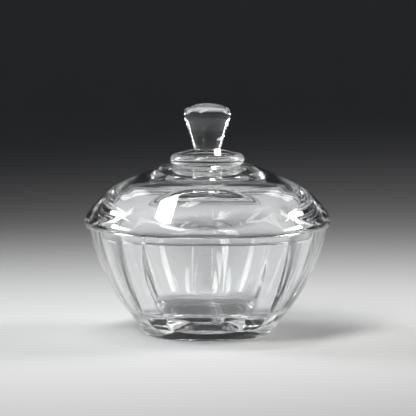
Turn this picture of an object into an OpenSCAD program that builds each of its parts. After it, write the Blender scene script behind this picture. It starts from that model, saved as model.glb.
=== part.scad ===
// Lidded candy bowl in clear pressed glass
// Millimetres, table at z = 0, bowl axis on z, one broad panel faces -y

/* [Bowl] */
// Diameter of the circle round the bowl's corners at the rim
rim_d = 155; // [150:1:162]
// Height from the table to the seat of the lid
bowl_h = 68; // [64:1:76]
// Diameter of the foot at table level, before its edge is rounded
foot_d = 78; // [74:1:82]
// Diameter of the foot where the panels start
foot_top_d = 89.4; // [87:0.4:91]
// Height of the plain round foot below the panels
foot_h = 6.5; // [5:0.5:8]
// How far the ribs stand out past the top of the foot
rib_out = 1.5; // [0.9:0.2:2.5]
// Height of the ribs' undersides above the ledge on top of the foot
rib_rise = 0.6; // [0.3:0.1:1.5]
// Rounding of the foot's bottom edge
foot_round = 2; // [1:0.25:2.5]
// Lean of the lower wall away from upright, in degrees
wall_lean = 39.5; // [38:0.5:41]
// Height at which the straight lower wall starts to curve upright
wall_join_z = 20; // [18:1:24]
// Thickness of the solid base
base_t = 18; // [14:1:22]
// Depth of the hollow under the foot
hollow_h = 2.2; // [1:0.1:4]
// Width of the flat ring the foot stands on
rest_w = 6; // [4:0.5:10]

/* [Panels] */
// Number of broad panels round the bowl
panel_n = 5; // [4:1:6]
// Depth of a panel below the ribs, at the rim
panel_sink = 6.7; // [6:0.1:7.5]
// Depth of a panel below the ribs, at the foot
panel_sink_foot = 4.5; // [3.5:0.1:5.5]
// Radius of the curve of a panel from foot to rim
panel_bend = 115; // [105:1:130]
// Distance behind the bowl axis of the line a panel is turned about
panel_shift = 130; // [100:5:200]
// Wall thickness behind the middle of a panel, at the rim
wall_t = 5.2; // [4:0.2:6]
// Wall thickness behind the middle of a panel, at the floor
wall_t_floor = 7.5; // [6:0.5:9]
// Radius of the curve of the inside from floor to mouth
inside_bend = 132; // [120:2:180]
// Rounding between the floor and the inside wall
floor_round = 7; // [4:0.5:9]

/* [Lid] */
// How far the lid's edge stands out past the bowl's corners
lid_over = 0; // [0:0.5:3]
// Height of the lid's flat top land above its seat
lid_h = 38.4; // [37:0.2:40]
// Radius of the shoulder curve of the dome
shoulder_r = 24.2; // [22:0.2:27]
// Height of the lid's edge above the centre of the shoulder curve
shoulder_drop = 2.3; // [1:0.1:4]
// Slope of the dome where shoulder and crown curves meet, in degrees
shoulder_slope = 36.6; // [35:0.2:39]
// Radius of the crown curve of the dome
crown_r = 84; // [78:1:90]
// Slope of the plain cone between the crown curve and the top land, in degrees
cone_slope = 23.7; // [22:0.1:25]
// Height above the seat at which a lid panel starts, on the shoulder curve
lid_panel_low = 4.6; // [4:0.1:6]
// Height above the seat at which a lid panel ends, on the crown curve
lid_panel_top = 27.4; // [25:0.2:29]
// Distance behind the lid axis of the line a lid panel is turned about
lid_panel_shift = 66; // [55:1:90]
// Rounding of the lid's lower edge
lid_edge_r = 2.3; // [1.5:0.1:3]
// Thickness of the dome under the middle of the land
dome_t = 4; // [3:0.5:6]
// Radius of the ceiling under the dome
ceiling_r = 110; // [100:5:130]
// Radius of the inside curve of the shoulder
inner_shoulder_r = 20; // [16:1:24]
// Depth of the round locating flange below the seat
flange_h = 5.5; // [4:0.5:8]
// Radial thickness of the locating flange
flange_t = 4.5; // [3:0.5:6]
// Gap all round between the flange and the bowl's mouth
flange_gap = 0.7; // [0.4:0.1:1.5]

/* [Collar and knob] */
// Diameter of the collar disc
collar_d = 46.8; // [40:0.4:52]
// Height of the collar's half-round edge
collar_edge_h = 7.4; // [5:0.2:9]
// Height of the cone on top of the collar
collar_cone_h = 2.7; // [1.5:0.2:5]
// Diameter of the knob where it stands on the collar
knob_foot_d = 17; // [14:0.5:20]
// Largest diameter of the knob
knob_d = 30.2; // [26:0.4:36]
// Height of the knob
knob_h = 28.6; // [24:0.4:34]
// Rounding of the knob's widest edge
knob_round = 4; // [3:0.5:6]
// Radius of the knob's domed top
knob_crown_r = 28; // [24:1:60]
// Thickness of the clear bond films under collar and knob
bond_t = 0.3; // [0.2:0.05:0.5]
// Margin of the bond films inside the faces they join
bond_margin = 0.8; // [0.5:0.1:2]

/* [Hidden] */
$fn = 180;
// Clearance by which cutters stand past the faces they cut
past = 1;
// Depth by which curves that touch run into each other, and the angle they carry on for past the joint
lap = 0.01;
lap_turn = 6;
glass_tint = [0.93, 0.96, 0.97, 0.4];
bond_tint = [0.95, 0.95, 0.92, 0.5];
panel_step = 360 / panel_n;
rim_r = rim_d / 2;
foot_r = foot_d / 2;
foot_top_r = foot_top_d / 2;
foot_lean = atan2(foot_top_r - foot_r, foot_h);
// Length along the foot's flat and side that its rounding takes
foot_reach = foot_round * tan((90 - foot_lean) / 2);

// Radius of the arc that leaves p along the lean and passes through q
function bend_of(p, lean, q) =
    let (d = q - p) (d * d) / (2 * (d * [-cos(lean), sin(lean)]));
// Centre of the arc of radius r through a and b that bulges outward and down
function arc_centre(a, b, r) =
    let (m = (a + b) / 2, d = b - a, half = norm(d) / 2)
    m + sqrt(r * r - half * half) * [-d.y, d.x] / norm(d);
// Radius at height z on the outer side of an arc
function arc_x(centre, r, z) = centre.x + sqrt(r * r - pow(z - centre.y, 2));

// Outer wall of the round body: a leaning line, then an arc up to the rim
wall_low = [foot_top_r + rib_out, foot_h];
wall_start = wall_low + rib_rise * [tan(wall_lean), 1];
wall_join = wall_low + (wall_join_z - foot_h) * [tan(wall_lean), 1];
wall_end = [rim_r, bowl_h];
wall_bend = bend_of(wall_join, wall_lean, wall_end);
wall_centre = wall_join + wall_bend * [-cos(wall_lean), sin(wall_lean)];

// Middle line of a panel, from the foot to the rim
panel_low = wall_low - [panel_sink_foot, 0];
panel_top = [rim_r - panel_sink, bowl_h];
panel_centre = arc_centre(panel_low, panel_top, panel_bend);

// Inside wall, from the floor to the mouth
floor_r = arc_x(panel_centre, panel_bend, base_t) - wall_t_floor;
mouth_r = panel_top.x - wall_t;
inside_low = [floor_r, base_t];
inside_top = [mouth_r, bowl_h];
inside_centre = arc_centre(inside_low, inside_top, inside_bend);
// Centre of the rounding that touches the floor and the inside wall
round_z = base_t + floor_round;
round_x = inside_centre.x
    + sqrt(pow(inside_bend - floor_round, 2) - pow(round_z - inside_centre.y, 2));
// Point where the rounding runs into the inside wall
round_dir = [round_x, round_z] - inside_centre;
round_end = inside_centre + inside_bend * round_dir / norm(round_dir);

// Lid: edge, shoulder arc, crown arc, cone and flat land, each running into the next
lid_r = rim_r + lid_over;
edge_z = bowl_h + lid_edge_r;
land_z = bowl_h + lid_h;
shoulder_centre = [lid_r - sqrt(pow(shoulder_r, 2) - pow(shoulder_drop, 2)), edge_z - shoulder_drop];
shoulder_out = [sin(shoulder_slope), cos(shoulder_slope)];
shoulder_top = shoulder_centre + shoulder_r * shoulder_out;
crown_centre = shoulder_top - crown_r * shoulder_out;
crown_end = crown_centre + crown_r * [sin(cone_slope), cos(cone_slope)];
cone_end = crown_centre + (crown_r - 3 * lap) * [sin(cone_slope), cos(cone_slope)];
land_r = crown_end.x - (land_z - crown_end.y) / tan(cone_slope);
// Radius of a lid panel's middle line, straight from the shoulder curve to the crown curve
lid_panel_low_z = bowl_h + lid_panel_low;
lid_panel_top_z = bowl_h + lid_panel_top;
lid_panel_low_r = arc_x(shoulder_centre, shoulder_r, lid_panel_low_z);
lid_panel_top_r = arc_x(crown_centre, crown_r, lid_panel_top_z);
function lid_panel_r(z) = lid_panel_low_r
    + (z - lid_panel_low_z) * (lid_panel_top_r - lid_panel_low_r) / (lid_panel_top_z - lid_panel_low_z);
// Flange radius, set by the mouth at the flange's lower edge
flange_z = bowl_h - flange_h;
flange_r = arc_x(inside_centre, inside_bend, flange_z) - flange_gap;
lid_inside_r = flange_r - flange_t;
// Inside of the dome: a shoulder arc that touches the hollow's side and the ceiling
ceiling_z = land_z - dome_t - ceiling_r;
inner_x = lid_inside_r - inner_shoulder_r;
inner_z = ceiling_z + sqrt(pow(ceiling_r - inner_shoulder_r, 2) - pow(inner_x, 2));
inner_slope = atan2(inner_x, inner_z - ceiling_z);

// Collar and knob heights
collar_z = land_z + bond_t;
collar_edge_r = collar_edge_h / 2;
collar_flat_r = collar_d / 2 - collar_edge_r;
collar_top_z = collar_z + collar_edge_h + collar_cone_h;
knob_z = collar_top_z + bond_t;
knob_foot_r = knob_foot_d / 2;
knob_round_x = knob_d / 2 - knob_round;
knob_crown_z = knob_z + knob_h - knob_crown_r;
knob_round_z = knob_crown_z + sqrt(pow(knob_crown_r - knob_round, 2) - pow(knob_round_x, 2));
// Point where the knob's side runs into the rounding of its widest edge
knob_run = [knob_foot_r - knob_round_x, knob_z - knob_round_z];
knob_turn = atan2(knob_run.y, knob_run.x) + acos(knob_round / norm(knob_run));
knob_touch = [knob_round_x, knob_round_z] + knob_round * [cos(knob_turn), sin(knob_turn)];

// Slice of a disc between two angles
module pie(centre, r, from, to) {
    mid = (from + to) / 2;
    intersection() {
        translate(centre) circle(r);
        polygon([centre, centre + 2 * r * [cos(from), sin(from)], centre + 2 * r * [cos(mid), sin(mid)],
            centre + 2 * r * [cos(to), sin(to)]]);
    }
}

module round_body() {
    rib_root = [foot_r, 0] + (foot_h + rib_rise) * [tan(foot_lean), 1];
    rotate_extrude() {
        difference() {
            polygon([[0, 0], [foot_r, 0], rib_root, wall_start, wall_join, [0, wall_join_z]]);
            foot_edge();
        }
        intersection() {
            translate(wall_centre) circle(wall_bend);
            translate([0, wall_join_z]) square([rim_d, bowl_h - wall_join_z]);
        }
    }
}

// Corner removed to round the foot's bottom edge
module foot_edge() {
    touch = [foot_r, 0] + foot_reach * [sin(foot_lean), cos(foot_lean)];
    round_centre = [foot_r - foot_reach, foot_round];
    difference() {
        polygon([[round_centre.x, -past], [foot_r + past, -past], touch + [past, 0], touch, round_centre]);
        translate(round_centre) circle(foot_round);
    }
}

// Everything outside one panel, from the foot up
module panel_cut() {
    difference() {
        translate([-rim_d, -rim_d, foot_h]) cube([2 * rim_d, rim_d, bowl_h + past - foot_h]);
        translate([0, panel_shift, 0]) rotate_extrude() intersection() {
            translate([panel_shift, 0] + panel_centre) circle(panel_bend);
            translate([0, foot_h - past])
                square([2 * panel_shift + rim_d, bowl_h - foot_h + 3 * past]);
        }
    }
}

module inside() {
    round_far = [round_x, round_z] + 3 * floor_round * round_dir / norm(round_dir);
    rotate_extrude() {
        translate([0, base_t]) square([round_x, floor_round]);
        pie([round_x, round_z], floor_round, -90, atan2(round_dir.y, round_dir.x));
        intersection() {
            translate(inside_centre) circle(inside_bend);
            polygon([[0, round_z], [round_x, round_z], round_far, [rim_d, round_far.y],
                [rim_d, bowl_h + past], [0, bowl_h + past]]);
        }
    }
}

module hollow() {
    hollow_r = foot_r - foot_reach - rest_w;
    translate([0, 0, -past])
        cylinder(h = hollow_h + past, r1 = hollow_r + past, r2 = hollow_r - hollow_h);
}

// Round body with the first n panels cut
module panelled(n) {
    if (n == 0) round_body();
    else difference() {
        panelled(n - 1);
        rotate(n * panel_step) panel_cut();
    }
}

module bowl() {
    color(glass_tint) difference() {
        panelled(panel_n);
        inside();
        hollow();
    }
}

// Point at height z on the line from the crown's centre that slopes away from upright
function crown_line(slope, z) = [crown_centre.x + (z - crown_centre.y) * tan(slope), z];

// Outline of the dome from the seat to its flat land, in pieces that overlap inside it
module dome_outline() {
    cone_lap = cone_slope - lap_turn;
    shoulder_lap = shoulder_slope - lap_turn;
    polygon([[0, bowl_h], crown_line(shoulder_slope, bowl_h), cone_end, [land_r, land_z], [0, land_z]]);
    intersection() {
        translate(crown_centre) circle(crown_r - lap);
        polygon([crown_line(cone_lap, bowl_h), crown_line(shoulder_slope, bowl_h),
            crown_line(shoulder_slope, 2 * land_z), crown_line(cone_lap, 2 * land_z)]);
    }
    intersection() {
        translate(shoulder_centre) circle(shoulder_r);
        polygon([crown_line(shoulder_lap, edge_z), [2 * lid_r, edge_z], [2 * lid_r, 2 * land_z],
            crown_line(shoulder_lap, 2 * land_z)]);
    }
    translate([0, bowl_h]) square([lid_r - lid_edge_r, 2 * lid_edge_r]);
    translate([lid_r - lid_edge_r, edge_z]) circle(lid_edge_r);
}

// Outline of the space under the dome
module underside_outline() {
    inner_far = [inner_x, inner_z] + 2 * inner_shoulder_r * [sin(inner_slope), cos(inner_slope)];
    translate([0, flange_z - past]) square([lid_inside_r, inner_z - flange_z + past]);
    pie([inner_x, inner_z], inner_shoulder_r, 0, 90 - inner_slope + lap_turn);
    intersection() {
        translate([0, ceiling_z]) circle(ceiling_r - lap);
        polygon([[0, inner_z], [inner_x, inner_z], inner_far, [0, inner_far.y]]);
    }
}

// Everything outside one lid panel, from the lid's edge to just above the panel
module lid_panel_cut() {
    cut_h = lid_panel_top_z + 2 * past - edge_z;
    cone_low = edge_z - past;
    cone_top = edge_z + cut_h + past;
    difference() {
        translate([-rim_d, -rim_d, edge_z]) cube([2 * rim_d, rim_d, cut_h]);
        translate([0, lid_panel_shift, cone_low])
            cylinder(h = cone_top - cone_low, r1 = lid_panel_shift + lid_panel_r(cone_low),
                r2 = lid_panel_shift + lid_panel_r(cone_top));
    }
}

// Round dome and flange with the first n panels cut
module panelled_dome(n) {
    if (n == 0) rotate_extrude() {
        dome_outline();
        translate([0, flange_z]) square([flange_r, flange_h + lid_edge_r]);
    }
    else difference() {
        panelled_dome(n - 1);
        rotate(n * panel_step) lid_panel_cut();
    }
}

module lid() {
    color(glass_tint) difference() {
        panelled_dome(panel_n);
        rotate_extrude() underside_outline();
    }
}

module collar_bond() {
    color(bond_tint) translate([0, 0, land_z])
        cylinder(h = bond_t, r = collar_flat_r - bond_margin);
}

module collar() {
    color(glass_tint) translate([0, 0, collar_z]) rotate_extrude() {
        square([collar_flat_r, collar_edge_h]);
        translate([collar_flat_r, collar_edge_r]) circle(collar_edge_r);
        polygon([[0, collar_edge_h], [collar_flat_r, collar_edge_h],
            [knob_foot_r, collar_edge_h + collar_cone_h],
            [0, collar_edge_h + collar_cone_h]]);
    }
}

module knob_bond() {
    color(bond_tint) translate([0, 0, collar_top_z])
        cylinder(h = bond_t, r = knob_foot_r - bond_margin);
}

module knob() {
    color(glass_tint) rotate_extrude() {
        polygon([[0, knob_z], [knob_foot_r, knob_z], knob_touch,
            [knob_round_x, knob_round_z], [0, knob_round_z]]);
        translate([knob_round_x, knob_round_z]) circle(knob_round);
        pie([0, knob_crown_z], knob_crown_r, atan2(knob_round_z - knob_crown_z, knob_round_x), 90);
    }
}

bowl();
lid();
collar_bond();
collar();
knob_bond();
knob();
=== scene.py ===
import math

import bpy
import numpy as np
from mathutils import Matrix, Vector


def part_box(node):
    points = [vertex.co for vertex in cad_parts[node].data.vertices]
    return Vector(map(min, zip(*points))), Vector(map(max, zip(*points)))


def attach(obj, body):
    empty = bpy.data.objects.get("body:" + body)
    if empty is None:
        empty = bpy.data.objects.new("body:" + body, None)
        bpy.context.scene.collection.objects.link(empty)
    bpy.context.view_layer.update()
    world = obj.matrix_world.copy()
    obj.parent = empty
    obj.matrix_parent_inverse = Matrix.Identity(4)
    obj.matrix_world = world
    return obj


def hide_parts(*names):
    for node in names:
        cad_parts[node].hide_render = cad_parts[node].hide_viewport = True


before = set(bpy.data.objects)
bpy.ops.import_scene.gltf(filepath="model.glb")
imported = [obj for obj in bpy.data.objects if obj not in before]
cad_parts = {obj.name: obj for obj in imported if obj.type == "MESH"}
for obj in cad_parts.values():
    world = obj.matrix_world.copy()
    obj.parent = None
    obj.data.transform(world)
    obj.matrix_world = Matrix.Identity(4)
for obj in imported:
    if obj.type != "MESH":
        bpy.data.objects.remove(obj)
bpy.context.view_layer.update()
mm = 0.001
print("frame loaded:", ", ".join(sorted(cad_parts)))


# sizes that the frame already holds, in mm

def boxOf(node):
    # lowest and highest corner of a node: metres over the length of a millimetre
    low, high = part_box(node)
    return np.array(low) / mm, np.array(high) / mm


seat = boxOf("bowl")[1][2]  # the lid sits at this height
lidLow, lidHigh = boxOf("lid")
collarLow, collarHigh = boxOf("collar")
collarBondLow, collarBondHigh = boxOf("collar_bond")
knobBondLow, knobBondHigh = boxOf("knob_bond")
knobLow, knobHigh = boxOf("knob")


# curves and skins that every piece shares

def softMin(a, b, width):
    # lesser of a and b; where they are closer than width, a parabola rounds the corner between them
    share = np.clip(0.5 + 0.5 * (b - a) / width, 0, 1)
    return b + (a - b) * share - width * share * (1 - share)


def arcRadius(centre, bend, z):
    # distance from the axis, at height z, of the outer side of a circle in the plane of radius and height
    return centre[0] + np.sqrt(bend ** 2 - (z - centre[1]) ** 2)


def arcCentre(low, high, bend):
    # centre of the circle of radius bend through two points that bulges outward and down
    low, high = np.array(low), np.array(high)
    run = high - low
    length = np.hypot(*run)
    return (low + high) / 2 + math.sqrt(bend ** 2 - length ** 2 / 4) * np.array([-run[1], run[0]]) / length


def offsetCircle(reach, shift, a):
    # a circle about a point shift behind the axis, seen from the axis at angle a from its middle:
    # r = sqrt((shift + reach)^2 - (shift sin a)^2) - shift cos a
    return np.sqrt((shift + reach) ** 2 - (shift * np.sin(a)) ** 2) - shift * np.cos(a)


def evenTurn(columns):
    # equal steps round the axis: step number times a full turn over the number of columns
    return np.arange(columns) * 2 * math.pi / columns


def ring(radius, z, angle):
    # one corner of a profile, as a radius, a height and an angle for every column
    return np.stack(np.broadcast_arrays(np.asarray(radius, float), z, angle), -1)


def roundedRows(path, steps=7, support=0.12, legShare=0.45, supportShare=0.05):
    # path is a list of (ring, radius); a ring with a radius becomes an arc that touches both its legs:
    # the rational quadratic curve with the corner as middle point and the sine of half its angle as weight
    rows = [path[0][0]]
    for (before, _), (here, radius), (after, _) in zip(path[:-2], path[1:-1], path[2:]):
        if not radius:
            rows.append(here)
            continue
        spot, angle = here[:, :2], here[:, 2:]
        legs = [before[:, :2] - spot, after[:, :2] - spot]
        lengths = [np.linalg.norm(leg, axis=-1, keepdims=True) + 1e-9 for leg in legs]
        ways = [leg / length for leg, length in zip(legs, lengths)]
        half = np.arccos(np.clip((ways[0] * ways[1]).sum(-1, keepdims=True), -1, 1)) / 2
        reach = np.minimum(radius / np.tan(np.maximum(half, 1e-4)), legShare * np.minimum(*lengths))
        start, end = spot + reach * ways[0], spot + reach * ways[1]
        weight = np.sin(half)
        slack = np.minimum(support, supportShare * np.minimum(*lengths))
        bend = [start + slack * ways[0]]
        for t in np.linspace(0, 1, steps):
            near, middle, far = (1 - t) ** 2, 2 * weight * t * (1 - t), t ** 2
            bend.append((near * start + middle * spot + far * end) / (near + middle + far))
        bend.append(end + slack * ways[1])
        rows += [np.concatenate([points, angle], -1) for points in bend]
    rows.append(path[-1][0])
    return np.array(rows)


def turned(name, rows):
    # carries rows of (radius, height, angle) into a closed skin, quads between rows and a fan at each pole
    radius, height, angle = np.moveaxis(rows, -1, 0)
    across = np.stack([radius * np.cos(angle), radius * np.sin(angle), height], -1) * mm
    columns = rows.shape[1]
    count = len(rows) - 2
    points = np.concatenate([across[:1, 0], across[1:-1].reshape(-1, 3), across[-1:, 0]])
    here = np.arange(columns)
    beside = (here + 1) % columns
    first = 1 + np.arange(count - 1)[:, None] * columns
    quads = np.stack([first + here, first + beside, first + columns + beside, first + columns + here], -1)
    lastRing = 1 + (count - 1) * columns
    lowFan = np.stack([0 * here, 1 + beside, 1 + here], -1)
    highFan = np.stack([lastRing + here, lastRing + beside, 0 * here + len(points) - 1], -1)
    corners = np.concatenate([lowFan.ravel(), quads.ravel(), highFan.ravel()])
    sizes = np.concatenate([np.full(columns, 3), np.full(quads.size // 4, 4), np.full(columns, 3)])
    mesh = bpy.data.meshes.new(name)
    mesh.vertices.add(len(points))
    mesh.vertices.foreach_set("co", points.ravel())
    mesh.loops.add(len(corners))
    mesh.loops.foreach_set("vertex_index", corners)
    mesh.polygons.add(len(sizes))
    mesh.polygons.foreach_set("loop_start", np.concatenate([[0], np.cumsum(sizes)[:-1]]))
    mesh.update(calc_edges=True)
    mesh.shade_smooth()
    piece = bpy.data.objects.new(name, mesh)
    bpy.context.scene.collection.objects.link(piece)
    return piece


def faceHeights(piece):
    # radius and height of every face's middle, in mm, and how steeply the face points up or down
    mesh = piece.data
    middles = np.empty(len(mesh.polygons) * 3)
    mesh.polygons.foreach_get("center", middles)
    normals = np.empty(len(mesh.polygons) * 3)
    mesh.polygons.foreach_get("normal", normals)
    middles = middles.reshape(-1, 3) / mm
    return np.hypot(middles[:, 0], middles[:, 1]), middles[:, 2], normals.reshape(-1, 3)[:, 2]


def dress(piece, body, node, finish, jointFinish=None, joints=(), near=0.1, level=0.9):
    # main finish all over, and the joint finish on level faces inside the discs where pieces are bonded;
    # a disc is a radius and a height, and near is how far a face may lie from that height, in mm
    piece.data.materials.append(finish)
    if jointFinish:
        piece.data.materials.append(jointFinish)
        radius, height, steep = faceHeights(piece)
        bonded = np.zeros(len(radius), bool)
        for jointRadius, jointHeight in joints:
            bonded |= (radius < jointRadius) & (np.abs(height - jointHeight) < near) & (np.abs(steep) > level)
        piece.data.polygons.foreach_set("material_index", bonded.astype(np.int32))
    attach(piece, body)
    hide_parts(node)
    print(piece.name, "made:", len(piece.data.polygons), "faces")


# shader maths

class Wire:
    # wraps one shader socket; arithmetic on it adds Math nodes to its tree
    def __init__(self, tree, socket=None):
        self.tree = tree
        self.socket = socket

    def node(self, kind, settings=None, sockets=None, out=0):
        # a new node with its settings, then the values or links of its sockets; gives its output
        made = self.tree.nodes.new(kind)
        for key, value in (settings or {}).items():
            setattr(made, key, value)
        for key, value in (sockets or {}).items():
            if isinstance(value, Wire):
                self.tree.links.new(value.socket, made.inputs[key])
            else:
                made.inputs[key].default_value = value
        return Wire(self.tree, made.outputs[out] if made.outputs else None)

    def math(self, operation, left, right):
        return self.node("ShaderNodeMath", {"operation": operation}, {0: left, 1: right})

    def __add__(self, other):
        return self.math("ADD", self, other)

    def __radd__(self, other):
        return self.math("ADD", other, self)

    def __mul__(self, other):
        return self.math("MULTIPLY", self, other)

    def __rmul__(self, other):
        return self.math("MULTIPLY", other, self)


def newMaterial(name):
    # an empty node tree, and a wire that adds nodes to it
    material = bpy.data.materials.new(name)
    material.use_nodes = True
    material.node_tree.nodes.clear()
    return material, Wire(material.node_tree)


glassFinish = dict(
    index=1.52,
    clear=(0.99, 0.992, 0.994, 1.0),
    cool=(0.955, 0.970, 0.976, 1.0),  # faint cast of thick crystal
    cloudScale=18.0,                  # a metre, slow changes of cast
    cloudDetail=2.0,
    polishLow=0.0,
    polishHigh=0.012,
    waveScale=70.0,                   # a metre, the waviness that a mould leaves
    waveDetail=1.0,
    waveHeight=0.000003,
)


def clearGlass(s):
    # cast = mix of clear and cool by slow noise; roughness and height = fine noise times small amounts
    material, w = newMaterial("clearGlass")
    place = w.node("ShaderNodeTexCoord", out="Object")
    cloud = w.node("ShaderNodeTexNoise", None,
                   {"Vector": place, "Scale": s["cloudScale"], "Detail": s["cloudDetail"]})
    cast = w.node("ShaderNodeMix", {"data_type": "RGBA"},
                  {"Factor": cloud, 6: s["clear"], 7: s["cool"]}, out=2)
    wave = w.node("ShaderNodeTexNoise", None,
                  {"Vector": place, "Scale": s["waveScale"], "Detail": s["waveDetail"]})
    polish = s["polishLow"] + (s["polishHigh"] - s["polishLow"]) * cloud
    bump = w.node("ShaderNodeBump", None, {"Height": wave, "Distance": s["waveHeight"], "Strength": 1.0})
    shader = w.node("ShaderNodeBsdfPrincipled", None, {
        "Base Color": cast, "Roughness": polish, "Normal": bump,
        "IOR": s["index"], "Transmission Weight": 1.0})
    w.node("ShaderNodeOutputMaterial", None, {"Surface": shader})
    return material


bondFinish = dict(
    index=1.0,                        # against glass, a bond of the same index bends no light
    clear=(1.0, 1.0, 1.0, 1.0),
    warm=(0.995, 0.993, 0.985, 1.0),
    cloudScale=120.0,
)


def clearBond(s):
    # tint = mix of clear and warm by noise; the film has the index of the glass on both sides of it
    material, w = newMaterial("clearBond")
    place = w.node("ShaderNodeTexCoord", out="Object")
    cloud = w.node("ShaderNodeTexNoise", None, {"Vector": place, "Scale": s["cloudScale"]})
    tint = w.node("ShaderNodeMix", {"data_type": "RGBA"},
                  {"Factor": cloud, 6: s["clear"], 7: s["warm"]}, out=2)
    shader = w.node("ShaderNodeBsdfPrincipled", None, {
        "Base Color": tint, "Roughness": 0.0, "IOR": s["index"], "Transmission Weight": 1.0})
    w.node("ShaderNodeOutputMaterial", None, {"Surface": shader})
    return material


glass = clearGlass(glassFinish)
bond = clearBond(bondFinish)
print("finishes made")


# bowl, sizes in mm and degrees

bowlShape = dict(
    panels=5, panelColumns=84, ribColumns=20, crowding=0.75,
    footRadius=39.0, footTopRadius=44.7, footHeight=6.5, footRound=2.0, footTopRound=0.7,
    hollowHeight=2.2, hollowRadius=32.0, hollowRound=1.2, hollowEdgeRound=0.5, hollowRings=(0, 6, 14, 22),
    beads=60, beadLow=33.0, beadHigh=36.6, beadDepth=0.7, beadRows=9,
    ribOut=1.5, ribRise=0.6, ribFootRound=0.9, ribSoft=0.5,
    wallLean=39.5, wallJoin=20.0, rimRadius=77.5, wallStart=2.2, wallEnd=1.6, wallRows=48,
    sinkTop=6.7, sinkFoot=4.5, panelBend=115.0, panelShift=130.0,
    wallTop=5.2, wallFloor=7.5, insideBend=132.0, insideStart=1.8, insideEnd=6.0, insideRows=36,
    floorHeight=18.0, floorRound=7.0, floorRings=(26, 17, 8, 0),
    edgeRound=0.9, seatGap=0.1,
)


def bowlRows(s):
    # foot, wall of ribs and panels, rim and round inside, as rows from the middle of the underside
    # to the middle of the floor
    sector = 2 * math.pi / s["panels"]
    rimZ = seat - s["seatGap"]
    lean = math.radians(s["wallLean"])
    wallLow = np.array([s["footTopRadius"] + s["ribOut"], s["footHeight"]])
    join = wallLow + (s["wallJoin"] - s["footHeight"]) * np.array([math.tan(lean), 1])
    out = np.array([-math.cos(lean), math.sin(lean)])
    run = np.array([s["rimRadius"], seat]) - join
    ribBend = run @ run / (2 * run @ out)
    ribCentre = join + ribBend * out
    panelTop = np.array([s["rimRadius"] - s["sinkTop"], seat])
    panelCentre = arcCentre(wallLow - [s["sinkFoot"], 0], panelTop, s["panelBend"])

    def crowd(count):
        # -1 to 1 in count steps that get closer together towards both ends
        t = np.linspace(-1, 1, count + 1)[:-1]
        return (1 - s["crowding"]) * t + s["crowding"] * np.sin(math.pi * t / 2)

    def ribRadius(z):
        # a leaning line from the foot, then an arc up to the rim
        if z < join[1]:
            return wallLow[0] + (z - wallLow[1]) * math.tan(lean)
        return arcRadius(ribCentre, ribBend, z)

    def wall(z):
        # softly the lesser of the rib and the panel, with columns that follow the edge between them:
        # the law of cosines gives the angle at which the panel's circle meets the rib's
        rib, reach, shift = ribRadius(z), arcRadius(panelCentre, s["panelBend"], z), s["panelShift"]
        edge = math.acos(((shift + reach) ** 2 - rib ** 2 - shift ** 2) / (2 * rib * shift))
        across = np.concatenate([edge * crowd(s["panelColumns"]),
                                 sector / 2 + (sector / 2 - edge) * crowd(s["ribColumns"])])
        fromMiddle = np.minimum(across, sector - across)
        radius = softMin(offsetCircle(reach, shift, fromMiddle), rib, s["ribSoft"])
        turns = np.arange(s["panels"])[:, None] * sector - math.pi / 2
        return ring(np.tile(radius, s["panels"]), z, (turns + across).ravel())

    low, high = wall(s["footHeight"]), wall(rimZ)

    def at(radius, z, like=low):
        # a ring whose columns stand at the angles of another ring
        return ring(radius, z, like[:, 2])

    floorRadius = arcRadius(panelCentre, s["panelBend"], s["floorHeight"]) - s["wallFloor"]
    mouth = panelTop[0] - s["wallTop"]
    insideCentre = arcCentre([floorRadius, s["floorHeight"]], [mouth, seat], s["insideBend"])
    overhang = np.clip((low[:, 0] - s["footTopRadius"]) / s["ribOut"], 0, 1)
    hollowTop = s["hollowRadius"] - s["hollowHeight"]
    path = [(at(r, s["hollowHeight"]), 0) for r in s["hollowRings"]]
    path += [(at(hollowTop, s["hollowHeight"]), s["hollowRound"])]
    path += [(at(s["hollowRadius"], 0), s["hollowEdgeRound"])]
    for share in np.linspace(0, 1, s["beadRows"]):
        # a shallow groove whose floor rises and falls, so that beads are left standing in it
        groove = s["beadDepth"] * math.sin(math.pi * share) * (0.5 - 0.5 * np.cos(s["beads"] * low[:, 2]))
        path.append((at(s["beadLow"] + share * (s["beadHigh"] - s["beadLow"]), groove), 0))
    path += [(at(s["footRadius"], 0), s["footRound"])]
    path += [(at(s["footTopRadius"], s["footHeight"]), s["footTopRound"])]
    path += [(at(low[:, 0], s["footHeight"] + s["ribRise"] * overhang), s["ribFootRound"])]
    for z in np.linspace(s["footHeight"] + s["wallStart"], rimZ - s["wallEnd"], s["wallRows"]):
        path.append((wall(z), 0))
    path += [(high, s["edgeRound"]), (at(mouth, rimZ, high), s["edgeRound"])]
    for z in np.linspace(rimZ - s["insideStart"], s["floorHeight"] + s["insideEnd"], s["insideRows"]):
        path.append((at(arcRadius(insideCentre, s["insideBend"], z), z, high), 0))
    path += [(at(floorRadius, s["floorHeight"], high), s["floorRound"])]
    path += [(at(r, s["floorHeight"], high), 0) for r in s["floorRings"]]
    return roundedRows(path)


dress(turned("glassBowl", bowlRows(bowlShape)), "bowl", "bowl", glass)


# lid, sizes in mm and degrees

lidShape = dict(
    columns=600,
    shoulderBend=24.2, shoulderDrop=2.3, shoulderSlope=36.6, shoulderRows=42,
    crownBend=84.0, crownRows=30, coneSlope=23.7, coneRows=9,
    edgeRound=2.3, edgeRows=9, landRound=1.5, landRings=(12, 5, 0),
    panels=5, panelLow=4.6, panelTop=27.4, panelShift=66.0, panelSoft=1.0,
    domeThick=4.0, ceilingBend=110.0, ceilingRows=14, innerBend=20.0, innerRows=20,
    flangeRadius=63.6, flangeThick=4.5, flangeRound=1.2, seatRound=0.5,
)


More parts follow.
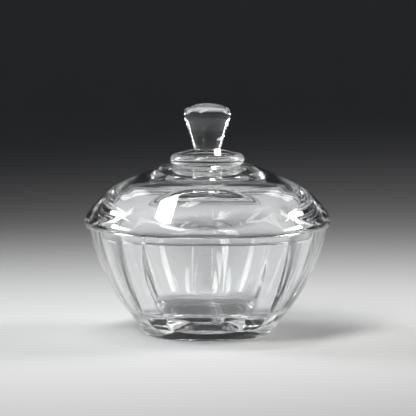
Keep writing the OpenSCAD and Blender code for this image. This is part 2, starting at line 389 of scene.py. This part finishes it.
def lidRows(s):
    # domed inside, flange, seat, edge, shoulder and crown with panels, cone and flat land, as rows from
    # the middle of the ceiling to the middle of the land
    turn = evenTurn(s["columns"])
    sector = 2 * math.pi / s["panels"]
    fromMiddle = (turn + math.pi / 2 + sector / 2) % sector - sector / 2
    land, radius = lidHigh[2], min(lidHigh[0], -lidLow[0])
    edge = np.array([radius - s["edgeRound"], seat + s["edgeRound"]])
    shoulderRun = math.sqrt(s["shoulderBend"] ** 2 - s["shoulderDrop"] ** 2)
    shoulder = np.array([radius - shoulderRun, edge[1] - s["shoulderDrop"]])
    steep, gentle = math.radians(s["shoulderSlope"]), math.radians(s["coneSlope"])

    def onArc(centre, bend, slope):
        # the point of a circle where its tangent slopes so much from level
        return centre + bend * np.array([math.sin(slope), math.cos(slope)])

    def at(place):
        # a plain round ring at a radius and height
        return ring(place[0], place[1], turn)

    crown = onArc(onArc(shoulder, s["shoulderBend"], steep), -s["crownBend"], steep)
    crownEnd = onArc(crown, s["crownBend"], gentle)
    landEdge = np.array([crownEnd[0] - (land - crownEnd[1]) / math.tan(gentle), land])
    lowZ, topZ = seat + s["panelLow"], seat + s["panelTop"]
    panelLow = np.array([arcRadius(shoulder, s["shoulderBend"], lowZ), lowZ])
    panelTop = np.array([arcRadius(crown, s["crownBend"], topZ), topZ])
    panelLean = (panelTop - panelLow)[0] / (panelTop - panelLow)[1]

    def panelled(place):
        # softly the lesser of the round dome and a cone about a line behind the axis,
        # straight from the panel's low end to its top
        r, z = place
        panel = offsetCircle(panelLow[0] + (z - panelLow[1]) * panelLean, s["panelShift"], fromMiddle)
        return ring(softMin(r, panel, s["panelSoft"]), z, turn)

    inside = s["flangeRadius"] - s["flangeThick"]
    ceiling = np.array([0, land - s["domeThick"] - s["ceilingBend"]])
    innerX = inside - s["innerBend"]
    innerRise = math.sqrt((s["ceilingBend"] - s["innerBend"]) ** 2 - innerX ** 2)
    inner = np.array([innerX, ceiling[1] + innerRise])
    innerSlope = math.atan2(innerX, innerRise)
    path = []
    for a in np.linspace(0, innerSlope, s["ceilingRows"]):
        path.append((at(onArc(ceiling, s["ceilingBend"], a)), 0))
    for a in np.linspace(innerSlope, math.pi / 2, s["innerRows"])[1:]:
        path.append((at(onArc(inner, s["innerBend"], a)), 0))
    path += [(at((inside, lidLow[2])), s["flangeRound"])]
    path += [(at((s["flangeRadius"], lidLow[2])), s["flangeRound"])]
    path += [(at((s["flangeRadius"], seat)), s["seatRound"])]
    for a in np.linspace(math.pi, math.pi / 2, s["edgeRows"]):
        path.append((at(onArc(edge, s["edgeRound"], a)), 0))
    shoulderStart = math.acos(s["shoulderDrop"] / s["shoulderBend"])
    for a in np.linspace(shoulderStart, steep, s["shoulderRows"])[1:]:
        path.append((panelled(onArc(shoulder, s["shoulderBend"], a)), 0))
    for a in np.linspace(steep, gentle, s["crownRows"])[1:]:
        path.append((panelled(onArc(crown, s["crownBend"], a)), 0))
    for share in np.linspace(0, 1, s["coneRows"])[1:-1]:
        path.append((panelled(crownEnd + share * (landEdge - crownEnd)), 0))
    path += [(at(landEdge), s["landRound"]), (at((collarBondHigh[0], land)), 0)]
    path += [(at((r, land)), 0) for r in s["landRings"]]
    return roundedRows(path)


dress(turned("glassLid", lidRows(lidShape)), "lid", "lid", glass, bond,
      [(collarBondHigh[0], lidHigh[2])])


# collar, knob and the bond films under them, sizes in mm

collarShape = dict(columns=240, edgeHeight=7.4, edgeRows=25, topRound=0.8, footRing=8.0, topRing=4.0)
knobShape = dict(columns=240, widestRound=4.0, widestRows=20, crownBend=28.0, crownRows=14, sideRows=14,
                 footRound=0.3, footRing=4.0)
bondMargin = 0.8  # a film ends this far inside the foot that stands on it
rimMargin = 0.4   # the level faces end this far inside the film's edge
filmShape = dict(columns=240, edgeRound=0.05, edgeSteps=4, support=0.02,
                 gap=0.02)  # the gap keeps a film's faces off its neighbours' faces


def collarRows(s):
    # a flat underside, a half circle for the edge, a cone up to the knob's foot and a level top
    turn = evenTurn(s["columns"])
    low, high, edge = collarLow[2], collarHigh[2], s["edgeHeight"] / 2
    flat = min(collarHigh[0], -collarLow[0]) - edge
    path = [(ring(r, low, turn), 0) for r in (0, s["footRing"], collarBondHigh[0], flat)]
    for a in np.linspace(-math.pi / 2, math.pi / 2, s["edgeRows"])[1:]:
        path.append((ring(flat + edge * math.cos(a), low + edge + edge * math.sin(a), turn), 0))
    path += [(ring(knobBondHigh[0] + bondMargin, high, turn), s["topRound"])]
    path += [(ring(r, high, turn), 0) for r in (knobBondHigh[0] - rimMargin, s["topRing"], 0)]
    return roundedRows(path)


def knobRows(s):
    # a straight flare from the foot that touches a circle at the widest place, which touches the crown's
    turn = evenTurn(s["columns"])
    low, high, radius = knobLow[2], knobHigh[2], min(knobHigh[0], -knobLow[0])
    foot = np.array([knobBondHigh[0] + bondMargin, low])
    crownZ = high - s["crownBend"]
    side = radius - s["widestRound"]
    centre = np.array([side, crownZ + math.sqrt((s["crownBend"] - s["widestRound"]) ** 2 - side ** 2)])
    run = foot - centre
    touch = math.atan2(run[1], run[0]) + math.acos(s["widestRound"] / np.hypot(*run))
    meet = math.atan2(centre[1] - crownZ, side)

    def onCircle(x, z, bend, a):
        # a ring at the point of a circle that lies at angle a
        return ring(x + bend * math.cos(a), z + bend * math.sin(a), turn)

    touchPoint = centre + s["widestRound"] * np.array([math.cos(touch), math.sin(touch)])
    path = [(ring(r, low, turn), 0) for r in (0, s["footRing"], knobBondHigh[0] - rimMargin)]
    path += [(ring(*foot, turn), s["footRound"])]
    for share in np.linspace(0, 1, s["sideRows"])[1:-1]:
        path.append((ring(*(foot + share * (touchPoint - foot)), turn), 0))
    for a in np.linspace(touch, meet, s["widestRows"]):
        path.append((onCircle(*centre, s["widestRound"], a), 0))
    for a in np.linspace(meet, math.pi / 2, s["crownRows"])[1:]:
        path.append((onCircle(0, crownZ, s["crownBend"], a), 0))
    return roundedRows(path)


def filmRows(lowest, highest, s):
    # a thin disc with rounded edges, a gap inside the film's box
    turn = evenTurn(s["columns"])
    radius, low, high = highest[0], lowest[2] + s["gap"], highest[2] - s["gap"]
    path = [(ring(r, low, turn), 0) for r in (0, radius / 2)]
    path += [(ring(radius, z, turn), s["edgeRound"]) for z in (low, high)]
    path += [(ring(r, high, turn), 0) for r in (radius / 2, 0)]
    return roundedRows(path, s["edgeSteps"], s["support"])


dress(turned("glassCollar", collarRows(collarShape)), "lid", "collar", glass, bond,
      [(collarBondHigh[0], collarLow[2]), (knobBondHigh[0], collarHigh[2])])
dress(turned("glassKnob", knobRows(knobShape)), "lid", "knob", glass, bond,
      [(knobBondHigh[0], knobLow[2])])
dress(turned("collarBondFilm", filmRows(collarBondLow, collarBondHigh, filmShape)),
      "lid", "collar_bond", bond)
dress(turned("knobBondFilm", filmRows(knobBondLow, knobBondHigh, filmShape)),
      "lid", "knob_bond", bond)


# stage: a pale round floor that curves up into a low wall, soft lamps, grey room; sizes in metres

stageShape = dict(
    floorRadius=2.6, cove=0.9, wallHeight=1.2, columns=96, floorRows=10, coveRows=16,
    colour=(0.66, 0.665, 0.67, 1.0),
    room=(0.03, 0.031, 0.034, 1.0),
)

lampShape = dict(
    beam=60, aim=(0, 0, 0.07),
    boxes=dict(  # place, width and height, watts, colour
        keyBox=((-0.50, -0.75, 1.14), (0.4, 1.1), 2.1, (1.0, 0.985, 0.965)),
        topBox=((-0.13, -0.06, 1.40), (0.10, 0.6), 0.45, (1.0, 1.0, 1.0)),
        leftBox=((-0.9, 0.3, 0.5), (0.5, 0.7), 1.1, (0.95, 0.975, 1.0)),
        rightBox=((0.9, 0.3, 0.5), (0.5, 0.7), 1.1, (1.0, 0.975, 0.95)),
    ),
)


def paleFloor(s):
    # a flat disc, a quarter circle up and an upright wall, carried round the axis
    bend = np.linspace(-math.pi / 2, 0, s["coveRows"])
    r = np.concatenate([np.linspace(0, s["floorRadius"], s["floorRows"]),
                        s["floorRadius"] + s["cove"] * np.cos(bend)])
    z = np.concatenate([np.zeros(s["floorRows"]), s["cove"] + s["cove"] * np.sin(bend)])
    r, z = np.append(r, r[-1]), np.append(z, s["cove"] + s["wallHeight"])
    angle = evenTurn(s["columns"])
    points = np.stack([r[:, None] * np.cos(angle), r[:, None] * np.sin(angle), z[:, None] + 0 * angle], -1)
    here = np.arange(s["columns"])
    beside = (here + 1) % s["columns"]
    first = np.arange(len(r) - 1)[:, None] * s["columns"]
    above = first + s["columns"]
    quads = np.stack([first + here, above + here, above + beside, first + beside], -1)
    mesh = bpy.data.meshes.new("paleFloor")
    mesh.from_pydata(points.reshape(-1, 3).tolist(), [], quads.reshape(-1, 4).tolist())
    mesh.shade_smooth()
    floor = bpy.data.objects.new("paleFloor", mesh)
    bpy.context.scene.collection.objects.link(floor)
    material, w = newMaterial("paleFloor")
    shader = w.node("ShaderNodeBsdfDiffuse", None, {"Color": s["colour"]})
    w.node("ShaderNodeOutputMaterial", None, {"Surface": shader})
    mesh.materials.append(material)


def softLamp(name, place, size, power, colour, beam, aim):
    # a rectangle of even light that faces the aim point and shines within the beam's angle
    lamp = bpy.data.lights.new(name, "AREA")
    lamp.shape = "RECTANGLE"
    lamp.size, lamp.size_y = size
    lamp.energy = power
    lamp.color = colour
    lamp.spread = math.radians(beam)
    holder = bpy.data.objects.new(name, lamp)
    holder.location = place
    holder.rotation_euler = (Vector(aim) - Vector(place)).to_track_quat("-Z", "Y").to_euler()
    bpy.context.scene.collection.objects.link(holder)


def greyRoom(s):
    # the same faint grey from every side
    world = bpy.data.worlds.new("greyRoom")
    world.use_nodes = True
    world.node_tree.nodes["Background"].inputs["Color"].default_value = s["room"]
    bpy.context.scene.world = world


paleFloor(stageShape)
for name, (place, size, power, colour) in lampShape["boxes"].items():
    softLamp(name, place, size, power, colour, lampShape["beam"], lampShape["aim"])
greyRoom(stageShape)


# camera at the photograph's viewing angle

cameraShape = dict(distance=1.673, height=0.235, aim=0.0795, turn=1.2, side=0.0004,
                   focalPixels=2667, imagePixels=416, sensor=36, farEnd=30)


def photoCamera(s):
    # stands back from the axis, turned a little round it, and looks down at the aim point on it
    lens = bpy.data.cameras.new("photoCamera")
    lens.sensor_width = s["sensor"]
    lens.lens = s["sensor"] * s["focalPixels"] / s["imagePixels"]
    lens.clip_end = s["farEnd"]
    turn = math.radians(s["turn"])
    camera = bpy.data.objects.new("photoCamera", lens)
    camera.location = (s["distance"] * math.sin(turn) + s["side"] * math.cos(turn),
                       s["side"] * math.sin(turn) - s["distance"] * math.cos(turn), s["height"])
    camera.rotation_euler = (math.pi / 2 - math.atan((s["height"] - s["aim"]) / s["distance"]), 0, turn)
    bpy.context.scene.collection.objects.link(camera)
    bpy.context.scene.camera = camera


photoCamera(cameraShape)
scene = bpy.context.scene
scene.view_settings.view_transform = "Standard"
scene.cycles.max_bounces = 32  # thick glass needs many passes
scene.cycles.transmission_bounces = 32
scene.cycles.glossy_bounces = 16
print("stage, lamps and camera set")
